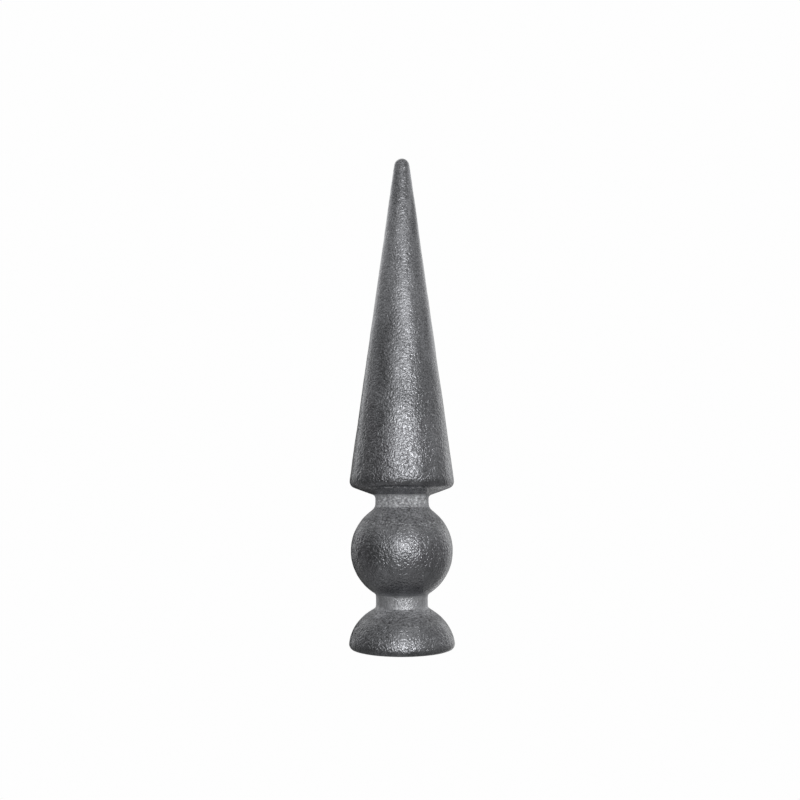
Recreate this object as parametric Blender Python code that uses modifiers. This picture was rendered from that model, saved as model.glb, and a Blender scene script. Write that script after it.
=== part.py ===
"""Fence finial of cast iron, made in one piece: a tall blunt cone over a ball, on a domed foot.

The finial is turned about the Z axis. Its origin is the centre of the foot's flat underside,
which is fixed on top of a fence post or picket. Lengths are in metres.
"""
from math import acos, atan2, cos, hypot, pi

import bpy
import numpy as np

MM = 0.001

# Foot: half a dome above a short upright edge
FOOT_RADIUS = 20.0 * MM
FOOT_EDGE_HEIGHT = 0.6 * MM
FOOT_DOME_RISE = 16.4 * MM
FOOT_EDGE_ROUNDING = 2.05 * MM

# Neck between foot and ball
LOWER_NECK_RADIUS = 9.75 * MM
LOWER_NECK_LENGTH = 5.3 * MM
LOWER_NECK_ROUNDING = 1.2 * MM

# Ball, a little flatter than a true sphere
BALL_RADIUS = 19.5 * MM
BALL_HALF_HEIGHT = 18.9 * MM
BALL_FOOT_ROUNDING = 0.9 * MM

# Neck between ball and cone
UPPER_NECK_RADIUS = 10.2 * MM
UPPER_NECK_LENGTH = 4.9 * MM
UPPER_NECK_ROUNDING = 1.8 * MM
UNDERCUT_ROUNDING = 1.2 * MM

# Cone, with a sloping underside and a round nose
UNDERSIDE_RISE = 3.65 * MM
CONE_RADIUS = 20.5 * MM
CONE_EDGE_ROUNDING = 2.15 * MM
CONE_HEIGHT = 133.7 * MM
NOSE_RADIUS = 2.95 * MM

# Fineness of the turned surface
SEGMENTS = 64
ROWS = 58
FINE_STEP = 0.1 * MM
STRAIGHT_SHARE = 1.5

NAME = "finial"
IRON_COLOUR = (0.19, 0.193, 0.2, 1.0)
IRON_ROUGHNESS = 0.42


def ellipse(centre_height, half_width, half_height, start, end):
    """Points (radius, height) of an ellipse on the axis, between two angles in radians."""
    count = 2 + int(abs(end - start) * max(half_width, half_height) / FINE_STEP)
    angles = np.linspace(start, end, count)
    return np.stack([half_width * np.cos(angles), centre_height + half_height * np.sin(angles)], 1)


def line(start, end):
    """The two ends of a straight stretch, each a (radius, height) pair."""
    return np.array([start, end])


def travel_along(points):
    """Distance from the first point to each point, measured along the outline."""
    steps = np.hypot(*np.diff(points, axis=0).T)
    return np.concatenate([[0.0], np.cumsum(steps)])


def point_at(points, travel, distance):
    """The point of the outline that lies a given distance along it."""
    return np.stack([np.interp(distance, travel, points[:, axis]) for axis in (0, 1)], -1)


def cut_back(points, reach):
    """The outline without its last stretch, which is as long as the reach."""
    travel = travel_along(points)
    stop = travel[-1] - min(reach, travel[-1] / 2)
    return np.vstack([points[travel < stop], point_at(points, travel, stop)])


def join(first, second, reach):
    """Two stretches that meet in a corner, rounded by an arc that starts a reach away from it."""
    before = cut_back(first, reach)
    after = cut_back(second[::-1], reach)[::-1]
    start, end = before[-1], after[0]
    incoming = (start - before[-2]) / hypot(*(start - before[-2]))
    outgoing = (after[1] - end) / hypot(*(after[1] - end))
    corner = start + incoming * np.linalg.solve(np.array([incoming, outgoing]).T, end - start)[0]
    pull = cos(acos(incoming @ outgoing) / 2)  # the weight that makes a conic curve a round arc
    share = np.linspace(0.0, 1.0, 24)[1:-1, None]
    shares = (1 - share) ** 2, 2 * pull * share * (1 - share), share**2
    arc = (shares[0] * start + shares[1] * corner + shares[2] * end) / sum(shares)
    return np.vstack([before, arc, after])


def nose(base_radius, base_height, top_height, radius):
    """The round nose, from where the cone's straight side touches it up to the axis."""
    centre = top_height - radius
    drop = centre - base_height
    touch_angle = acos(radius / hypot(base_radius, drop)) - atan2(drop, base_radius)
    return ellipse(centre, radius, radius, touch_angle, pi / 2)


def outline():
    """The finial's outline from the axis at its underside to the axis at its tip."""
    dome_end = acos(LOWER_NECK_RADIUS / FOOT_RADIUS)
    dome = ellipse(FOOT_EDGE_HEIGHT, FOOT_RADIUS, FOOT_DOME_RISE, 0.0, dome_end)
    foot = np.vstack([(FOOT_RADIUS, 0.0), dome])

    ball_start = acos(LOWER_NECK_RADIUS / BALL_RADIUS)
    ball_end = acos(UPPER_NECK_RADIUS / BALL_RADIUS)
    ball = ellipse(0.0, BALL_RADIUS, BALL_HALF_HEIGHT, -ball_start, ball_end)
    ball[:, 1] += dome[-1, 1] + LOWER_NECK_LENGTH - ball[0, 1]

    neck_top = (UPPER_NECK_RADIUS, ball[-1, 1] + UPPER_NECK_LENGTH)
    cone_foot = (CONE_RADIUS, neck_top[1] + UNDERSIDE_RISE)
    cone_top = nose(*cone_foot, cone_foot[1] + CONE_HEIGHT, NOSE_RADIUS)

    shape = line((0.0, 0.0), (FOOT_RADIUS, 0.0))
    shape = join(shape, foot, FOOT_EDGE_ROUNDING)
    shape = join(shape, line(dome[-1], ball[0]), LOWER_NECK_ROUNDING)
    shape = join(shape, ball, BALL_FOOT_ROUNDING)
    shape = join(shape, line(ball[-1], neck_top), UPPER_NECK_ROUNDING)
    shape = join(shape, line(neck_top, cone_foot), UNDERCUT_ROUNDING)
    return join(shape, np.vstack([cone_foot, cone_top]), CONE_EDGE_ROUNDING)


def rows_along(shape, count):
    """The outline in a given number of rows, which lie closer together where it bends."""
    travel = travel_along(shape)
    fine = point_at(shape, travel, np.linspace(0.0, travel[-1], int(travel[-1] / FINE_STEP)))
    steps = np.diff(fine, axis=0)
    headings = np.unwrap(np.arctan2(steps[:, 1], steps[:, 0]))
    bend = np.abs(np.gradient(headings)) / FINE_STEP
    need = np.concatenate([[0.0], np.cumsum(np.sqrt(bend) + STRAIGHT_SHARE)])
    return point_at(fine, need, np.linspace(0.0, need[-1], count))


def iron_material():
    """Dark bare iron."""
    material = bpy.data.materials.new("iron")
    material.use_nodes = True
    shader = material.node_tree.nodes["Principled BSDF"]
    shader.inputs["Base Color"].default_value = IRON_COLOUR
    shader.inputs["Roughness"].default_value = IRON_ROUGHNESS
    shader.inputs["Metallic"].default_value = 1.0
    return material


def turned(name, rows, material, collection):
    """A solid of revolution about the Z axis, from rows that run down its outer side."""
    mesh = bpy.data.meshes.new(name)
    edges = [(row, row + 1) for row in range(len(rows) - 1)]
    mesh.from_pydata([(radius, 0.0, height) for radius, height in rows], edges, [])
    mesh.materials.append(material)
    piece = bpy.data.objects.new(name, mesh)
    collection.objects.link(piece)

    screw = piece.modifiers.new("Turned", "SCREW")
    screw.axis = "Z"
    screw.angle = 2 * pi
    screw.steps = SEGMENTS
    screw.render_steps = SEGMENTS
    screw.use_merge_vertices = True
    screw.merge_threshold = 0.01 * MM
    screw.use_smooth_shade = True
    return piece


def main():
    for old in list(bpy.data.objects):
        bpy.data.objects.remove(old, do_unlink=True)
    collection = bpy.data.collections.new("fence_finial")
    bpy.context.scene.collection.children.link(collection)

    shape = outline()
    rows = np.vstack([shape[:1], rows_along(shape[1:], ROWS)])  # the flat underside is one row
    turned(NAME, rows[::-1], iron_material(), collection)


main()
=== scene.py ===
import math

import bpy
import numpy as np
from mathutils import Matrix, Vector


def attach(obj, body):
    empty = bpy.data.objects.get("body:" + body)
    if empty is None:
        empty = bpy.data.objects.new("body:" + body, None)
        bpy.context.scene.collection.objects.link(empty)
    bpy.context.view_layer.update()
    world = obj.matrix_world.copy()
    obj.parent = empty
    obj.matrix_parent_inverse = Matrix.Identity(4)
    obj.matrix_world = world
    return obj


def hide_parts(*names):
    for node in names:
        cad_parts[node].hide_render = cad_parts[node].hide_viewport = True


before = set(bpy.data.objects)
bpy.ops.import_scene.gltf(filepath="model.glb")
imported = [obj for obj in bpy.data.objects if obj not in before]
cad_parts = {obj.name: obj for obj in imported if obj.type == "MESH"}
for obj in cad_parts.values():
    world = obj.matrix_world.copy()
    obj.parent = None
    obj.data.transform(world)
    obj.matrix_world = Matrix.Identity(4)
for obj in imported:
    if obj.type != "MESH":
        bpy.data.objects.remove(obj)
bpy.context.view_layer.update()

mm = 0.001


class Wire:  # a node's output that can be used in sums
    def __init__(self, graph, socket):
        self.graph = graph
        self.socket = socket

    def at(self, name):  # another output of the same node
        return Wire(self.graph, find(self.socket.node.outputs, name))

    def maths(self, operation, *others):
        return self.graph.maths(operation, self, *others)

    def __add__(self, other):
        return self.maths("ADD", other)

    def __radd__(self, other):
        return self.graph.maths("ADD", other, self)

    def __sub__(self, other):
        return self.maths("SUBTRACT", other)

    def __rsub__(self, other):
        return self.graph.maths("SUBTRACT", other, self)

    def __mul__(self, other):
        return self.maths("MULTIPLY", other)

    def __rmul__(self, other):
        return self.graph.maths("MULTIPLY", other, self)

    def __truediv__(self, other):
        return self.maths("DIVIDE", other)

    def __rtruediv__(self, other):
        return self.graph.maths("DIVIDE", other, self)

    def __pow__(self, other):
        return self.maths("POWER", other)

    def ease(self, low, high):  # 0 up to low, 1 from high on, smooth between
        limits = {"Value": self, "From Min": low, "From Max": high}
        return self.graph.node("ShaderNodeMapRange", {"interpolation_type": "SMOOTHSTEP"}, limits)

    def bell(self, middle, reach):  # 1 at the middle, falling to 0 a reach away on both sides
        return 1 - (self - middle).maths("ABSOLUTE").ease(0.0, reach)

    def band(self, limits):  # 1 between the inner two of four limits, 0 beyond the outer two
        starts, whole, fades, gone = limits
        return self.ease(starts, whole) * (1 - self.ease(fades, gone))


def find(sockets, name):  # a socket by its place, identifier or name
    if isinstance(name, int):
        return sockets[name]
    byIdentifier = [socket for socket in sockets if socket.identifier == name]
    return byIdentifier[0] if byIdentifier else sockets[name]


class Graph:  # adds nodes to one node tree
    def __init__(self, tree):
        self.tree = tree
        tree.nodes.clear()

    def node(self, kind, settings=None, sockets=None):
        made = self.tree.nodes.new(kind)
        for name, value in (settings or {}).items():
            setattr(made, name, value)
        for name, value in (sockets or {}).items():
            socket = find(made.inputs, name)
            if isinstance(value, Wire):
                self.tree.links.new(value.socket, socket)
            else:
                socket.default_value = value
        return Wire(self, made.outputs[0]) if len(made.outputs) else made

    def maths(self, operation, *terms):
        return self.node("ShaderNodeMath", {"operation": operation}, dict(enumerate(terms)))

    def vector(self, operation, *terms):
        return self.node("ShaderNodeVectorMath", {"operation": operation}, dict(enumerate(terms)))

    def noise(self, place, size, detail=1.0, roughness=0.5):  # mostly 0.3 to 0.7, on average 0.5
        sockets = {"Vector": place, "Scale": 1 / size, "Detail": detail, "Roughness": roughness}
        return self.node("ShaderNodeTexNoise", {}, sockets)

    def cells(self, place, size):  # 0 at a cell's middle, about 0.7 between cells
        return self.node("ShaderNodeTexVoronoi", {}, {"Vector": place, "Scale": 1 / size})

    def mixColour(self, share, first, second):
        sockets = {"Factor_Float": share, "A_Color": first, "B_Color": second}
        return self.node("ShaderNodeMix", {"data_type": "RGBA"}, sockets).at("Result_Color")


# The camera stands a little below the cone's edge and looks up at the tip
cameraStand = {
    "distance": 313.5 * mm,
    "height": 52.84 * mm,
    "sideways": -0.72 * mm,
    "tiltUp": 7.673,  # degrees
    "lens": 36.0,
    "sensor": 36.0,
    "nearest": 10 * mm,
}


def makeCamera(stand):
    data = bpy.data.cameras.new("camera")
    data.lens = stand["lens"]
    data.sensor_width = stand["sensor"]
    data.clip_start = stand["nearest"]
    camera = bpy.data.objects.new("camera", data)
    camera.location = (stand["sideways"], -stand["distance"], stand["height"])
    camera.rotation_euler = (math.radians(90 + stand["tiltUp"]), 0, 0)
    bpy.context.scene.collection.objects.link(camera)
    bpy.context.scene.camera = camera


makeCamera(cameraStand)
print("camera placed")

# One solid casting, turned about the upright axis
finial = {
    "rowSpacing": 0.55 * mm,  # along the outline
    "segments": 224,  # round the axis
    "waveSize": 17 * mm,
    "waveDepth": 0.35 * mm,
    "rippleSize": 6 * mm,
    "rippleDepth": 0.12 * mm,
    "dentSize": 3.2 * mm,
    "dentDepth": 0.06 * mm,
    "dentMiddle": 0.45,  # the cells' average, about which a dent goes in and out
    "plainBand": 0.5 * mm,  # height over which the unevenness fades in above the flat underside
    "fuller": 0.14 * mm,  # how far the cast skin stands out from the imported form
    "fullerTip": 0.12 * mm,  # how much further it does at the tip
    "tipStarts": 140 * mm,  # height from which it does
    "tipWhole": 185 * mm,  # and from which it does so fully
    "seed": 0.7,  # the noise is read this far from the casting, in metres
    "mergeWithin": 0.001 * mm,  # closes the seam, the middle of the underside and the tip
    "marks": [  # angle from the front and tilt in degrees, sizes are half lengths
        {"angle": 4.8, "height": 2.6 * mm, "tilt": 0,
         "long": 1.7 * mm, "wide": 0.8 * mm, "depth": 0.22 * mm},
        {"angle": -16, "height": 11.5 * mm, "tilt": 60,
         "long": 3.2 * mm, "wide": 1.6 * mm, "depth": 0.12 * mm},
        {"angle": -33, "height": 56.1 * mm, "tilt": -50,
         "long": 1.2 * mm, "wide": 0.6 * mm, "depth": 0.15 * mm},
        {"angle": 9.3, "height": 67.8 * mm, "tilt": 0,
         "long": 1.3 * mm, "wide": 1.2 * mm, "depth": 0.09 * mm},
        {"angle": 27, "height": 14.2 * mm, "tilt": 4,
         "long": 1.5 * mm, "wide": 0.5 * mm, "depth": 0.15 * mm},
    ],
    "markFloor": 0.2,  # share of a mark's size that lies at its full depth
    "markThrough": 3.0,  # a mark reaches this many times its length into the iron
}


def castRings(node):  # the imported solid's outline as (radius, height), from its underside to its tip
    corners = np.array([corner.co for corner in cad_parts[node].data.vertices], float)
    heights = np.round(corners[:, 2], 6)  # to a thousandth of a millimetre
    radii = np.hypot(corners[:, 0], corners[:, 1])
    rings = [(radii[heights == height].max(), height) for height in np.unique(heights)]
    return np.array([(0.0, rings[0][1])] + rings)


def smoothOutline(rings, spacing):  # a smooth curve through the rings, in even steps
    parts = 40  # of the curve between two rings
    level = (-1.0, 0.0)  # inward, as the curve runs at the tip
    chords = np.diff(rings, axis=0)
    lengths = np.hypot(*chords.T)
    headings = np.vstack([chords[:1], rings[2:] - rings[:-2], [level]])
    headings[1] = chords[0]  # the underside stays flat up to its rim
    headings /= np.hypot(*headings.T)[:, None]
    share = np.linspace(0, 1, parts, endpoint=False)[:, None]
    startWeight = 2 * share**3 - 3 * share**2 + 1  # the four weights of a cubic Hermite curve
    endWeight = 3 * share**2 - 2 * share**3
    leaveWeight = share**3 - 2 * share**2 + share
    arriveWeight = share**3 - share**2
    runs = []
    for start, end, leave, arrive, length in zip(rings, rings[1:], headings, headings[1:], lengths):
        run = start * startWeight + end * endWeight
        run += leave * length * leaveWeight
        run += arrive * length * arriveWeight
        runs.append(run)
    curve = np.vstack(runs + [rings[-1:]])
    travel = np.concatenate([[0], np.cumsum(np.hypot(*np.diff(curve, axis=0).T))])
    steps = np.linspace(0, travel[-1], round(travel[-1] / spacing) + 1)
    return np.stack([np.interp(steps, travel, curve[:, axis]) for axis in (0, 1)], 1)


def markField(graph, place, outline, mark, settings):  # how far a mark pushes the skin in
    turn = math.radians(mark["angle"])
    radius = np.interp(mark["height"], outline[:, 1], outline[:, 0])
    middle = Vector((radius * math.sin(turn), -radius * math.cos(turn), mark["height"]))
    sideways = Vector((math.cos(turn), math.sin(turn), 0))
    tilt = math.radians(mark["tilt"])
    along = sideways * math.cos(tilt) + Vector((0, 0, math.sin(tilt)))
    across = Vector((0, 0, math.cos(tilt))) - sideways * math.sin(tilt)
    offset = graph.vector("SUBTRACT", place, middle)
    far = graph.vector("DOT_PRODUCT", offset, along / mark["long"]).at("Value")
    wide = graph.vector("DOT_PRODUCT", offset, across / mark["wide"]).at("Value")
    inward = middle.normalized() / (settings["markThrough"] * mark["long"])
    deep = graph.vector("DOT_PRODUCT", offset, inward).at("Value")
    away = (far * far + wide * wide + deep * deep) ** 0.5
    return (1 - away.ease(settings["markFloor"], 1.0)) * mark["depth"]


def latheTree(outline, settings):
    tree = bpy.data.node_groups.new("turnedCasting", "GeometryNodeTree")
    tree.interface.new_socket(name="Geometry", in_out="OUTPUT", socket_type="NodeSocketGeometry")
    kinds = {"Geometry": "Geometry", "segments": "Int", "skin": "Material"}
    noFloats = ("rowSpacing", "segments", "marks", "markFloor", "markThrough")
    kinds.update({name: "Float" for name in settings if name not in noFloats})
    sockets = {}
    for name, kind in kinds.items():
        made = tree.interface.new_socket(name=name, in_out="INPUT", socket_type="NodeSocket" + kind)
        sockets[name] = made.identifier
    graph = Graph(tree)
    given = graph.node("NodeGroupInput")

    # A grid with one column for each segment is wrapped round the axis along the outline
    profile = given.at("Geometry")
    rows = graph.node("GeometryNodeAttributeDomainSize", {"component": "MESH"}, {"Geometry": profile})
    grid = {"Vertices X": given.at("segments") + 1, "Vertices Y": rows}
    sheet = graph.node("GeometryNodeMeshGrid", {}, grid)
    index = graph.node("GeometryNodeInputIndex")
    column = ((index + 0.5) / rows).maths("FLOOR")
    row = index - column * rows
    place = graph.node("GeometryNodeInputPosition")
    sample = {"Geometry": profile, "Value": place, "Index": row}
    ring = graph.node("GeometryNodeSampleIndex", {"data_type": "FLOAT_VECTOR"}, sample)
    radius = graph.node("ShaderNodeSeparateXYZ", {}, {0: ring})
    turn = column * (2 * math.pi) / given.at("segments")
    spot = {"X": radius * turn.maths("COSINE"), "Y": radius * turn.maths("SINE")}
    spot["Z"] = radius.at("Z")
    wrapped = graph.node("ShaderNodeCombineXYZ", {}, spot)
    turned = graph.node("GeometryNodeSetPosition", {}, {"Geometry": sheet, "Position": wrapped})
    merging = {"Geometry": turned, "Distance": given.at("mergeWithin")}
    closed = graph.node("GeometryNodeMergeByDistance", {}, merging)

    # The casting's unevenness moves its skin in and out
    moved = graph.vector("ADD", place, given.at("seed"))
    wave = (graph.noise(moved, given.at("waveSize")) - 0.5) * given.at("waveDepth")
    ripple = (graph.noise(moved, given.at("rippleSize")) - 0.5) * given.at("rippleDepth")
    dents = graph.cells(moved, given.at("dentSize"))
    dent = (dents - given.at("dentMiddle")) * given.at("dentDepth")
    height = graph.node("ShaderNodeSeparateXYZ", {}, {0: place}).at("Z")
    above = height.ease(0.0, given.at("plainBand"))
    atTip = height.ease(given.at("tipStarts"), given.at("tipWhole"))
    fuller = atTip * given.at("fullerTip") + given.at("fuller")
    push = wave + ripple + dent + fuller
    for mark in settings["marks"]:
        push = push - markField(graph, place, outline, mark, settings)
    outward = graph.node("GeometryNodeInputNormal")
    move = graph.vector("MULTIPLY", outward, push * above)
    uneven = graph.node("GeometryNodeSetPosition", {}, {"Geometry": closed, "Offset": move})
    smooth = graph.node("GeometryNodeSetShadeSmooth", {}, {"Geometry": uneven})
    real = graph.node("GeometryNodeRealizeInstances", {}, {"Geometry": smooth})
    dressing = {"Geometry": real, "Material": given.at("skin")}
    dressed = graph.node("GeometryNodeSetMaterial", {}, dressing)
    graph.node("NodeGroupOutput", {}, {0: dressed})
    return tree, sockets


def makeFinial(settings, skin):
    outline = smoothOutline(castRings("finial"), settings["rowSpacing"])
    profile = bpy.data.meshes.new("outline")
    profile.from_pydata([(radius, 0, height) for radius, height in outline], [], [])
    piece = bpy.data.objects.new("castFinial", profile)
    bpy.context.scene.collection.objects.link(piece)
    tree, sockets = latheTree(outline, settings)
    turning = piece.modifiers.new("turned", "NODES")
    turning.node_group = tree
    for name, value in settings.items():
        if name in sockets:
            turning[sockets[name]] = value
    turning[sockets["skin"]] = skin
    evaluated = piece.evaluated_get(bpy.context.evaluated_depsgraph_get())
    mesh = bpy.data.meshes.new_from_object(evaluated)
    piece.modifiers.remove(turning)
    piece.data = mesh
    bpy.data.meshes.remove(profile)
    return piece


# Bare dark iron, finely peened all over: bright on its proud forms, dull and paler in the hollows.
# Heights are above the flat underside. Of two heights a look starts at the first and is whole
# from the second on. Of four it starts, is whole, starts to fade and is gone.
iron = {
    "bare": (0.2, 0.203, 0.213, 1.0),
    "dull": (0.135, 0.137, 0.144, 1.0),
    "dusty": (0.215, 0.218, 0.228, 1.0),
    "pale": (0.39, 0.395, 0.41, 1.0),  # on both necks
    "paleMarksAndGlints": (0.8, 0.81, 0.83, 1.0),  # in the specks, pale marks that partly stand in as painted glints
    "roughness": 0.09,
    "dullRoughness": 0.55,
    "dimpleSize": 1.35 * mm,
    "dimpleDepth": 0.1 * mm,
    "dimpleWall": (0.1, 0.5),  # where a dimple rises, from its middle in parts of its size
    "crinkleSize": 1.5 * mm,
    "crinkleTall": 1.67,  # how many times taller than wide the creases are
    "crinkleDetail": 2.0,
    "crinkleWide": 0.11,  # how far the noise goes from a crease's bottom to its rim
    "crinkleDepth": 0.08 * mm,
    "crinkleFades": 0.6,  # share of the creases' depth that is lost up the cone
    "swirlSize": 2.5 * mm,  # of the swirls that bend the dimples and creases
    "swirlReach": 2.3 * mm,
    "grainSize": 0.7 * mm,
    "grainDetail": 2.0,
    "grainRoughness": 0.6,
    "grainDepth": 0.17 * mm,
    "fleckSize": 0.5 * mm,
    "fleckLimits": (0.3, 0.7),  # the noise where they are darkest and lightest
    "fleckSeed": 0.3,  # the noise is read this far from the casting, in metres
    "flecks": 0.2,  # they are up to this much lighter or darker than the colours above
    "patchSize": 6 * mm,
    "patchTall": 3.0,  # how many times taller than wide the patches are
    "patchDetail": 3.0,
    "patchShare": 1.1,  # how strongly the patches lighten and darken the iron
    "patchRougher": 0.15,
    "ringSize": 0.8 * mm,
    "ringCircle": 8 * mm,  # radius of the circle on which the rings' noise is read
    "ringCore": 0.1 * mm,  # added to the radius, which is nothing at the axis
    "ringDepth": 0.15 * mm,
    "topPale": (110 * mm, 160 * mm),
    "topPaler": 0.16,
    "tip": (150 * mm, 178 * mm),
    "tipDarker": 0.22,
    "upCone": (75 * mm, 120 * mm),
    "upConeSmoother": 0.27,  # share of the whole relief that is lost up the cone
    "upConeFlecks": 1.1,
    "upConePatches": 0.3,
    "upConeRougher": 0.2,
    "paleSides": [  # upright strips left and right of the axis, up to the tip
        {"heights": (110 * mm, 150 * mm), "middle": -5 * mm, "reach": 5 * mm, "paler": 0.3},
        {"heights": (160 * mm, 180 * mm), "middle": 3.2 * mm, "reach": 1.7 * mm, "paler": 0.75},
    ],
    "paintedHighlights": [  # painted highlights, paler where the highlight falls on the lower cone and on the foot, tall and reach are half sizes
        {"height": 76 * mm, "tall": 18 * mm, "middle": 2.5 * mm, "reach": 10 * mm, "paler": 0.22},
        {"height": 7.5 * mm, "tall": 6 * mm, "middle": 0.5 * mm, "reach": 10 * mm, "paler": 0.34},
    ],
    # The lower edges of cone and foot are worn back fully below the first height, less and less
    # up to the second. Their darker bands are painted shade where the rounded edges turn down.
    "edge": {
        "worn": (62.6 * mm, 65.2 * mm),
        "depth": 0.24 * mm,
        "middle": 62.3 * mm,
        "reach": 2.4 * mm,
        "darker": 0.28,
    },
    "footEdgeWornAndShaded": {"worn": (1.2 * mm, 3.2 * mm), "depth": 0.12 * mm, "darker": 0.3},
    "footFlank": {"middle": 8.5 * mm, "reach": 4.5 * mm, "darker": 0.25},
    "underside": (58 * mm, 59 * mm, 61.4 * mm, 61.8 * mm),
    "undersideRougher": 0.08,
    "upperNeck": (52.9 * mm, 53.3 * mm, 57.7 * mm, 58.1 * mm),
    "upperRougher": 0.25,
    "lowerNeck": (14.5 * mm, 15.9 * mm, 20.2 * mm, 22.6 * mm),
    "lowerSmoother": 0.3,
    "lowerMatt": 0.65,
    "hollows": [  # heights where the iron starts to dull, is dull, is dusty too, and is bright again
        {"start": 9 * mm, "dull": 12.5 * mm, "dusty": 14 * mm, "end": 15 * mm},
        {"start": 42.5 * mm, "dull": 48 * mm, "dusty": 51.5 * mm, "end": 57.7 * mm},
    ],
    "hollowWobble": 3 * mm,  # how unevenly a hollow starts
    "hollowBorder": 0.4 * mm,  # how sharply it ends
    "mottle": {  # spots on the dull iron, from the rings, the grain and the creases
        "grain": 2.0,
        "creases": 1.5,
        "paler": 0.15,
        "dull": 1.5,  # how strong the spots are
        "upper": 0.7,  # how much weaker they are on the upper neck
    },
    "speckRings": [  # broken pale rings on the underside, the ball and the neck between them, partly pale marks and partly painted glints
        {"height": 60.2 * mm, "reach": 0.4 * mm, "wobble": 0.4 * mm, "share": 0.7},
        {"height": 47 * mm, "reach": 1.6 * mm, "wobble": 5 * mm, "share": 0.15},
        {"height": 55.3 * mm, "reach": 2.6 * mm, "wobble": 1 * mm, "share": 0.4},
    ],
    "speckGrain": 0.7,  # how much the grain breaks them up
    "speckLimits": (0.5, 0.66),  # none of a ring is pale below the first, all of it above the second
    "lessMetal": {"dull": 0.85, "lower": 0.18, "upper": 0.6, "specks": 0.8},  # shares of its metal
}


def ironMaterial(look):
    material = bpy.data.materials.new("peenedIron")
    material.use_nodes = True
    graph = Graph(material.node_tree)
    place = graph.node("ShaderNodeTexCoord").at("Object")
    parts = graph.node("ShaderNodeSeparateXYZ", {}, {0: place})
    height = parts.at("Z")
    radius = (parts * parts + parts.at("Y") * parts.at("Y")) ** 0.5

    # Turning marks: their noise is read on one circle at every radius, so they widen with the form
    stretch = look["ringCircle"] / (radius + look["ringCore"])
    spot = {"X": parts * stretch, "Y": parts.at("Y") * stretch, "Z": height - radius}
    rings = graph.noise(graph.node("ShaderNodeCombineXYZ", {}, spot), look["ringSize"])

    # Patches, dimples, creases, grain and flecks
    lowered = graph.vector("MULTIPLY", place, (1, 1, 1 / look["patchTall"]))
    patches = graph.noise(lowered, look["patchSize"], look["patchDetail"])
    swirl = graph.noise(place, look["swirlSize"]).at("Color")
    swirl = graph.vector("SUBTRACT", swirl, (0.5, 0.5, 0.5))
    warped = graph.vector("MULTIPLY_ADD", swirl, (look["swirlReach"],) * 3, place)
    dimples = graph.cells(warped, look["dimpleSize"])
    squat = graph.vector("MULTIPLY", warped, (1, 1, 1 / look["crinkleTall"]))
    crinkle = graph.noise(squat, look["crinkleSize"], look["crinkleDetail"])
    crinkle = (crinkle - 0.5).maths("ABSOLUTE")
    grain = graph.noise(place, look["grainSize"], look["grainDetail"], look["grainRoughness"])
    moved = graph.vector("ADD", place, (look["fleckSeed"],) * 3)
    fleck = graph.noise(moved, look["fleckSize"]).ease(*look["fleckLimits"]) - 0.5

    # Where the looks lie, as shares from 0 to 1
    broken = height + (patches - 0.5) * look["hollowWobble"]
    dull = 0.0
    dusty = 0.0
    for hollow in look["hollows"]:
        within = 1 - height.ease(hollow["end"], hollow["end"] + look["hollowBorder"])
        dull = broken.ease(hollow["start"], hollow["dull"]) * within + dull
        dusty = broken.ease(hollow["dull"], hollow["dusty"]) * within + dusty
    lower = height.band(look["lowerNeck"])
    upper = height.band(look["upperNeck"])
    below = height.band(look["underside"])
    topPale = height.ease(*look["topPale"])
    tip = height.ease(*look["tip"])
    upCone = height.ease(*look["upCone"])
    edge = look["edge"]
    foot = look["footEdgeWornAndShaded"]
    flank = look["footFlank"]
    onFoot = 1 - height.ease(*foot["worn"])
    specks = 0.0
    for ring in look["speckRings"]:
        wobbly = height + (patches - 0.5) * ring["wobble"]
        specks = wobbly.bell(ring["height"], ring["reach"]) * ring["share"] + specks
    specks = specks * (rings + (grain - 0.5) * look["speckGrain"]).ease(*look["speckLimits"])

    # Relief, in metres outwards
    relief = dimples.ease(*look["dimpleWall"]) * look["dimpleDepth"] + grain * look["grainDepth"]
    creased = look["crinkleDepth"] * (1 - upCone * look["crinkleFades"])
    relief = relief + crinkle.ease(0.0, look["crinkleWide"]) * creased
    relief = relief * (1 - lower * look["lowerSmoother"]) * (1 - upCone * look["upConeSmoother"])
    relief = relief + rings * dull * look["ringDepth"]
    relief = relief + height.ease(*edge["worn"]) * edge["depth"]
    relief = relief - onFoot * foot["depth"]
    bump = graph.node("ShaderNodeBump", {}, {"Height": relief, "Distance": 1.0, "Strength": 1.0})

    # Colours where the looks lie, then lighter and darker spots and stretches
    colour = graph.mixColour(dull, look["bare"], look["dull"])
    colour = graph.mixColour(dusty, colour, look["dusty"])
    colour = graph.mixColour(upper + lower, colour, look["pale"])
    # the specks are pale marks and partly painted glints
    colour = graph.mixColour(specks, colour, look["paleMarksAndGlints"])
    mottle = look["mottle"]
    spots = (rings - 0.5) + (grain - 0.5) * mottle["grain"] - crinkle * mottle["creases"]
    spots = spots + mottle["paler"]
    fleckShare = 2 * look["flecks"] * (1 + upCone * look["upConeFlecks"])
    patchShare = look["patchShare"] * (1 + upCone * look["upConePatches"])
    tone = fleck * fleckShare + (patches - 0.5) * patchShare + 1
    tone = tone + spots * (dull * mottle["dull"] - upper * mottle["upper"])
    tone = tone + topPale * look["topPaler"] - tip * look["tipDarker"]
    for side in look["paleSides"]:
        onSide = height.ease(*side["heights"]) * parts.bell(side["middle"], side["reach"])
        tone = onSide * side["paler"] + tone
    # painted highlights: the tone is paler where the highlight falls on the lower cone and the foot
    for highlightPatch in look["paintedHighlights"]:
        onHighlight = height.bell(highlightPatch["height"], highlightPatch["tall"]) * parts.bell(highlightPatch["middle"], highlightPatch["reach"])
        tone = onHighlight * highlightPatch["paler"] + tone
    tone = tone - height.bell(flank["middle"], flank["reach"]) * flank["darker"]
    # painted shade: the cone's lower edge is darker where its rounding turns down
    tone = tone - height.bell(edge["middle"], edge["reach"]) * edge["darker"]
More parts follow.
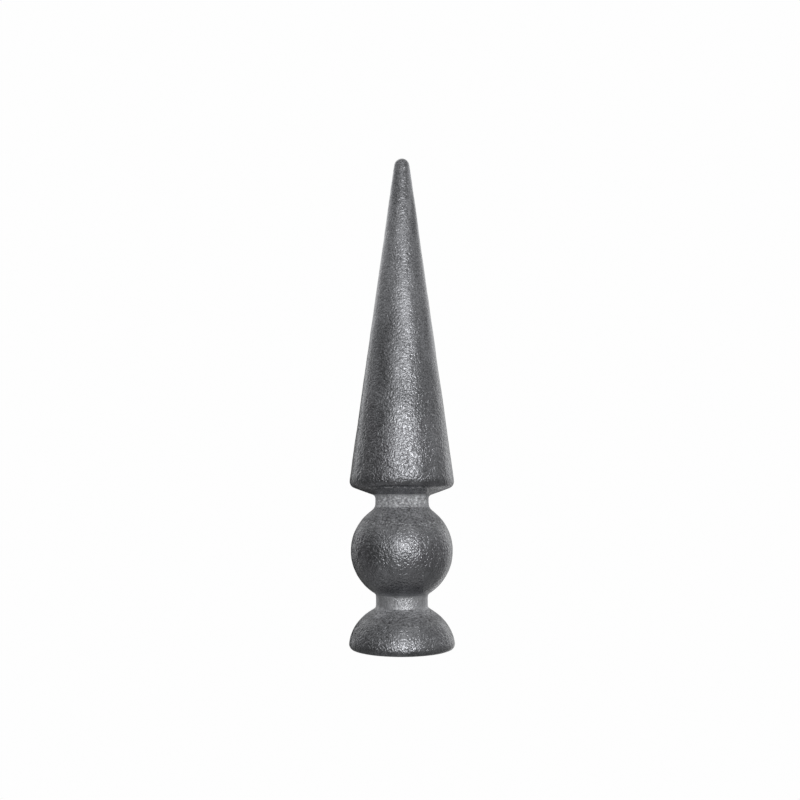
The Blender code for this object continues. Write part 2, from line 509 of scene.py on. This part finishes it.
    # painted shade: the foot's bottom edge is darker where it turns under
    tone = tone - onFoot * foot["darker"]
    colour = graph.node("ShaderNodeVectorMath", {"operation": "SCALE"}, {0: colour, "Scale": tone})

    # Less metallic where it is dull, on the necks and in the specks
    less = look["lessMetal"]
    metal = (1 - dull * less["dull"]) * (1 - lower * less["lower"])
    metal = metal * (1 - upper * less["upper"]) * (1 - specks * less["specks"])
    matt = (dull + lower * look["lowerMatt"]).maths("MINIMUM", 1.0)
    rough = matt * (look["dullRoughness"] - look["roughness"]) + look["roughness"]
    rough = rough + upper * look["upperRougher"] + (patches - 0.5) * look["patchRougher"]
    rough = rough + upCone * look["upConeRougher"] + below * look["undersideRougher"]
    sockets = {"Base Color": colour, "Metallic": metal, "Roughness": rough, "Normal": bump}
    shader = graph.node("ShaderNodeBsdfPrincipled", {}, sockets)
    graph.node("ShaderNodeOutputMaterial", {}, {"Surface": shader})
    return material


casting = makeFinial(finial, ironMaterial(iron))
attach(casting, "root")
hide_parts("finial")
print("finial turned,", len(casting.data.polygons), "faces")

# Soft studio: the lights stand far off in the surroundings, each fading out sideways.
# Right and up are angles from the camera's side, narrow is how fast a light fades. Angles are
# in degrees.
studio = {
    "backdrop": (0.99, 0.99, 0.99, 1.0),
    "lampColour": (1.0, 1.0, 1.0, 1.0),
    "floorWidth": 3.0,  # metres
    "cards": [  # shade is the share of light that a card takes up to covers, none from fades on
        {"right": -171, "up": 0, "covers": 13, "fades": 24, "shade": 1.0},
        {"right": -168, "up": -20, "covers": 8, "fades": 22, "shade": 0.35},
        {"right": 173, "up": 5, "covers": 8, "fades": 24, "shade": 0.6},
    ],
    "lights": [
        {"right": 17, "up": 11, "narrow": 65, "bright": 8.6},
        {"right": -10, "up": 11, "narrow": 50, "bright": 2.4},
        {"right": -15, "up": 0, "narrow": 12, "bright": 0.72},
        {"right": 45, "up": 0, "narrow": 12, "bright": 0.5},
        {"right": 0, "up": 40, "narrow": 6, "bright": 0.85},
        {"right": 75, "up": 40, "narrow": 6, "bright": 0.56},
        {"right": -75, "up": 40, "narrow": 6, "bright": 0.47},
        {"right": 150, "up": 40, "narrow": 6, "bright": 0.95},
        {"right": -150, "up": 40, "narrow": 6, "bright": 1.15},
        {"right": 150, "up": 4, "narrow": 12, "bright": 0.95},
        {"right": -155, "up": 5, "narrow": 14, "bright": 0.85},
        {"right": 90, "up": 0, "narrow": 12, "bright": 0.2},
        {"right": 0, "up": -40, "narrow": 6, "bright": 0.37},
        {"right": 75, "up": -40, "narrow": 6, "bright": 0.37},
        {"right": -75, "up": -40, "narrow": 6, "bright": 0.42},
        {"right": 180, "up": -40, "narrow": 6, "bright": 0.3},
        {"right": 168, "up": -17, "narrow": 40, "bright": 0.5},
        {"right": 166, "up": 17, "narrow": 30, "bright": 0.4},
        {"right": 120, "up": -25, "narrow": 15, "bright": 0.15},
        {"right": 0, "up": -90, "narrow": 6, "bright": 0.3},
        {"right": 0, "up": 85, "narrow": 6, "bright": 0.35},
        {"right": 120, "up": 8, "narrow": 20, "bright": 0.16},
        {"right": -112, "up": 0, "narrow": 12, "bright": 0.12},
    ],
}


def directionOf(thing):
    side = math.radians(thing["right"])
    rise = math.radians(thing["up"])
    return Vector((math.sin(side) * math.cos(rise), -math.cos(side) * math.cos(rise), math.sin(rise)))


def makeWorld(look):
    world = bpy.data.worlds.new("studio")
    world.use_nodes = True
    bpy.context.scene.world = world
    graph = Graph(world.node_tree)
    toward = graph.node("ShaderNodeTexCoord").at("Generated")
    total = 0.0
    for lamp in look["lights"]:
        facing = graph.vector("DOT_PRODUCT", toward, directionOf(lamp)).at("Value")
        total = facing.maths("MAXIMUM", 0.0) ** lamp["narrow"] * lamp["bright"] + total
    for card in look["cards"]:
        facing = graph.vector("DOT_PRODUCT", toward, directionOf(card)).at("Value")
        edges = [math.cos(math.radians(card[name])) for name in ("fades", "covers")]
        total = total * (1 - facing.ease(*edges) * card["shade"])
    room = graph.node("ShaderNodeBackground", {}, {"Color": look["lampColour"], "Strength": total})
    pale = {"Color": look["backdrop"], "Strength": 1.0}
    backdrop = graph.node("ShaderNodeBackground", {}, pale)
    seen = graph.node("ShaderNodeLightPath").at("Is Camera Ray")
    mixed = graph.node("ShaderNodeMixShader", {}, {0: seen, 1: room, 2: backdrop})
    graph.node("ShaderNodeOutputWorld", {}, {"Surface": mixed})


def makeFloor(look):
    half = look["floorWidth"] / 2
    corners = [(-half, -half, 0), (half, -half, 0), (half, half, 0), (-half, half, 0)]
    mesh = bpy.data.meshes.new("floor")
    mesh.from_pydata(corners, [], [(0, 1, 2, 3)])
    floor = bpy.data.objects.new("floor", mesh)
    bpy.context.scene.collection.objects.link(floor)
    material = bpy.data.materials.new("paleFloor")
    material.use_nodes = True
    graph = Graph(material.node_tree)
    glow = graph.node("ShaderNodeEmission", {}, {"Color": look["backdrop"], "Strength": 1.0})
    graph.node("ShaderNodeOutputMaterial", {}, {"Surface": glow})
    mesh.materials.append(material)
    floor.visible_glossy = False
    floor.visible_diffuse = False


makeWorld(studio)
makeFloor(studio)
bpy.context.scene.view_settings.view_transform = "Standard"
print("studio lit")
